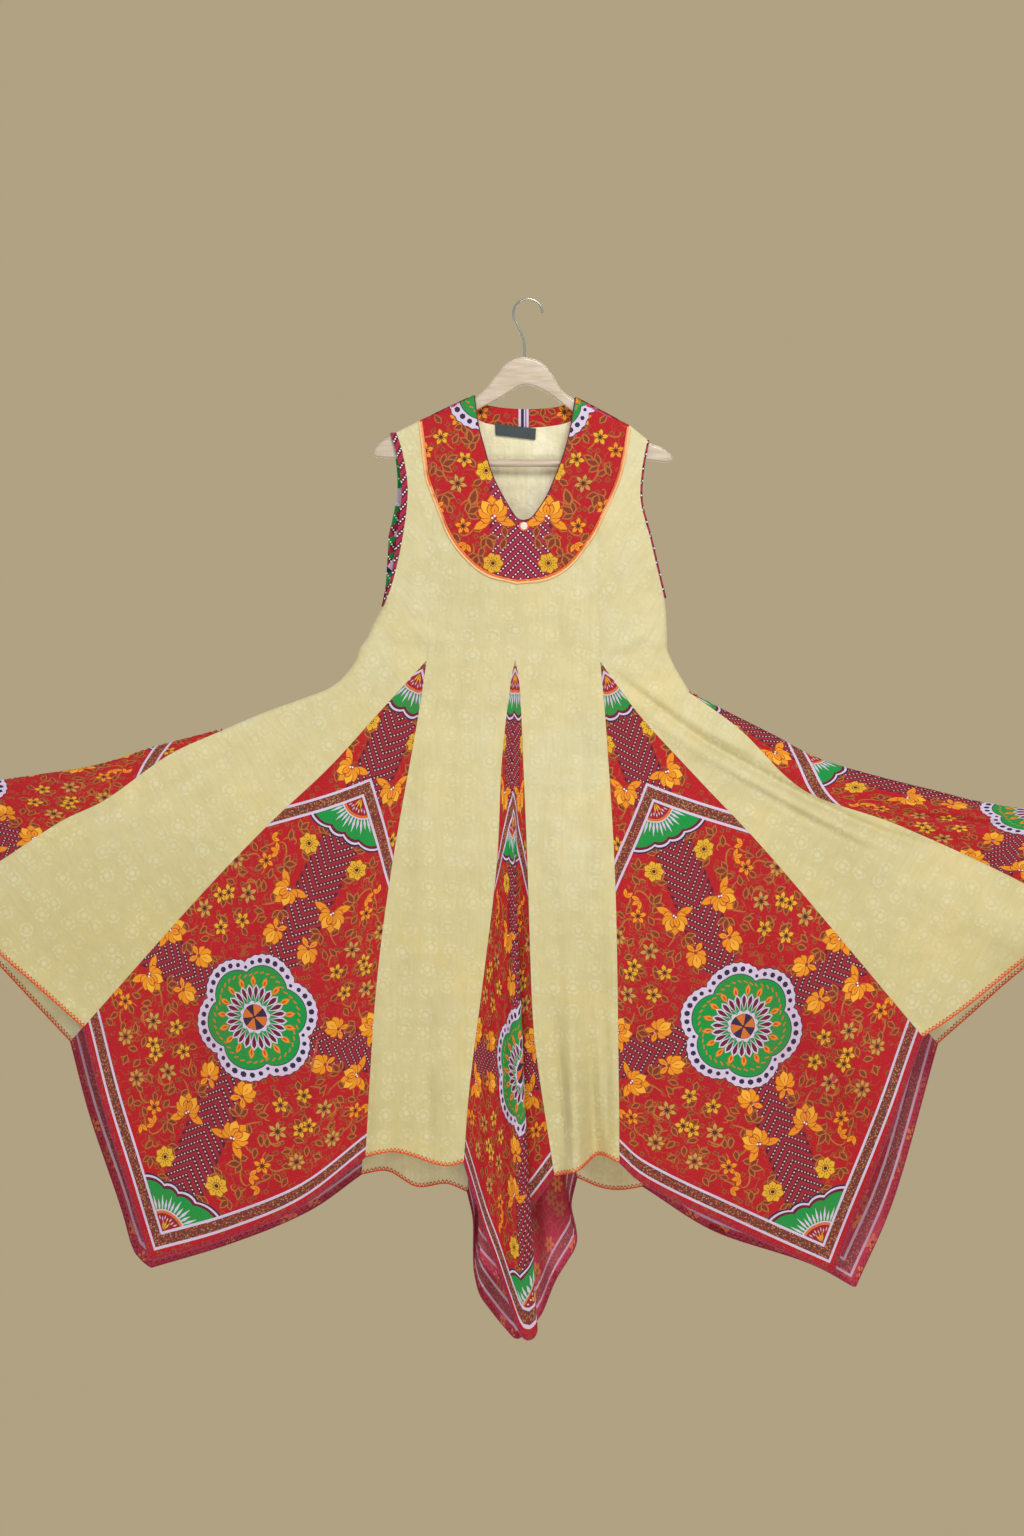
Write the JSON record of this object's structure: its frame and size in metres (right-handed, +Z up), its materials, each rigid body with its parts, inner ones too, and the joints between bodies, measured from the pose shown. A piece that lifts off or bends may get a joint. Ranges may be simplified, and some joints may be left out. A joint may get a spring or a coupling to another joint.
{
  "type": "sleeveless kurti on a hanger",
  "caption": "Long sleeveless kurti of pale cream cloth with a printed yoke and printed kite godets that give a handkerchief hem, spread flat on a wooden hanger.",
  "frame": {"origin": "inner top of the hanger's hook, where a nail or rail carries it", "axes": "+Z up, +X to the right seen from the front, along the spread of the skirt; the front faces -Y, and Y is the garment's depth"},
  "size_m": [2.438, 0.1178, 1.5517],
  "materials": {
    "cream_cloth": "pale yellow cream cotton with a small woven spot",
    "printed_cloth": "plain woven cotton printed in red, gold, green and maroon",
    "braid": "orange thread braid",
    "pearl_button": "pale pink, glossy",
    "label_cloth": "dark grey woven tape, bare",
    "wood": "pale sanded wood, clear lacquer",
    "hook_wire": "plated steel wire"
  },
  "bodies": {
    "root": {"front_side_panel_left": "cream_cloth", "front_side_panel_right": "cream_cloth", "front_centre_panel_left": "cream_cloth", "front_centre_panel_right": "cream_cloth", "back_side_panel_left": "cream_cloth", "back_side_panel_right": "cream_cloth", "back_centre_panel_left": "cream_cloth", "back_centre_panel_right": "cream_cloth", "front_godet_left": "printed_cloth", "front_godet_centre": "printed_cloth", "front_godet_right": "printed_cloth", "back_godet_left": "printed_cloth", "back_godet_centre": "printed_cloth", "back_godet_right": "printed_cloth", "side_godet_left": "printed_cloth", "side_godet_right": "printed_cloth", "front_yoke": "printed_cloth", "back_neckband": "printed_cloth", "armhole_binding_left": "printed_cloth", "armhole_binding_right": "printed_cloth", "yoke_trim": "braid", "button_loop": "braid", "neck_button": "pearl_button", "neck_label": "label_cloth", "hanger_body": "wood", "hanger_bar": "wood", "hanger_hook": "hook_wire"}
  },
  "joints": []
}
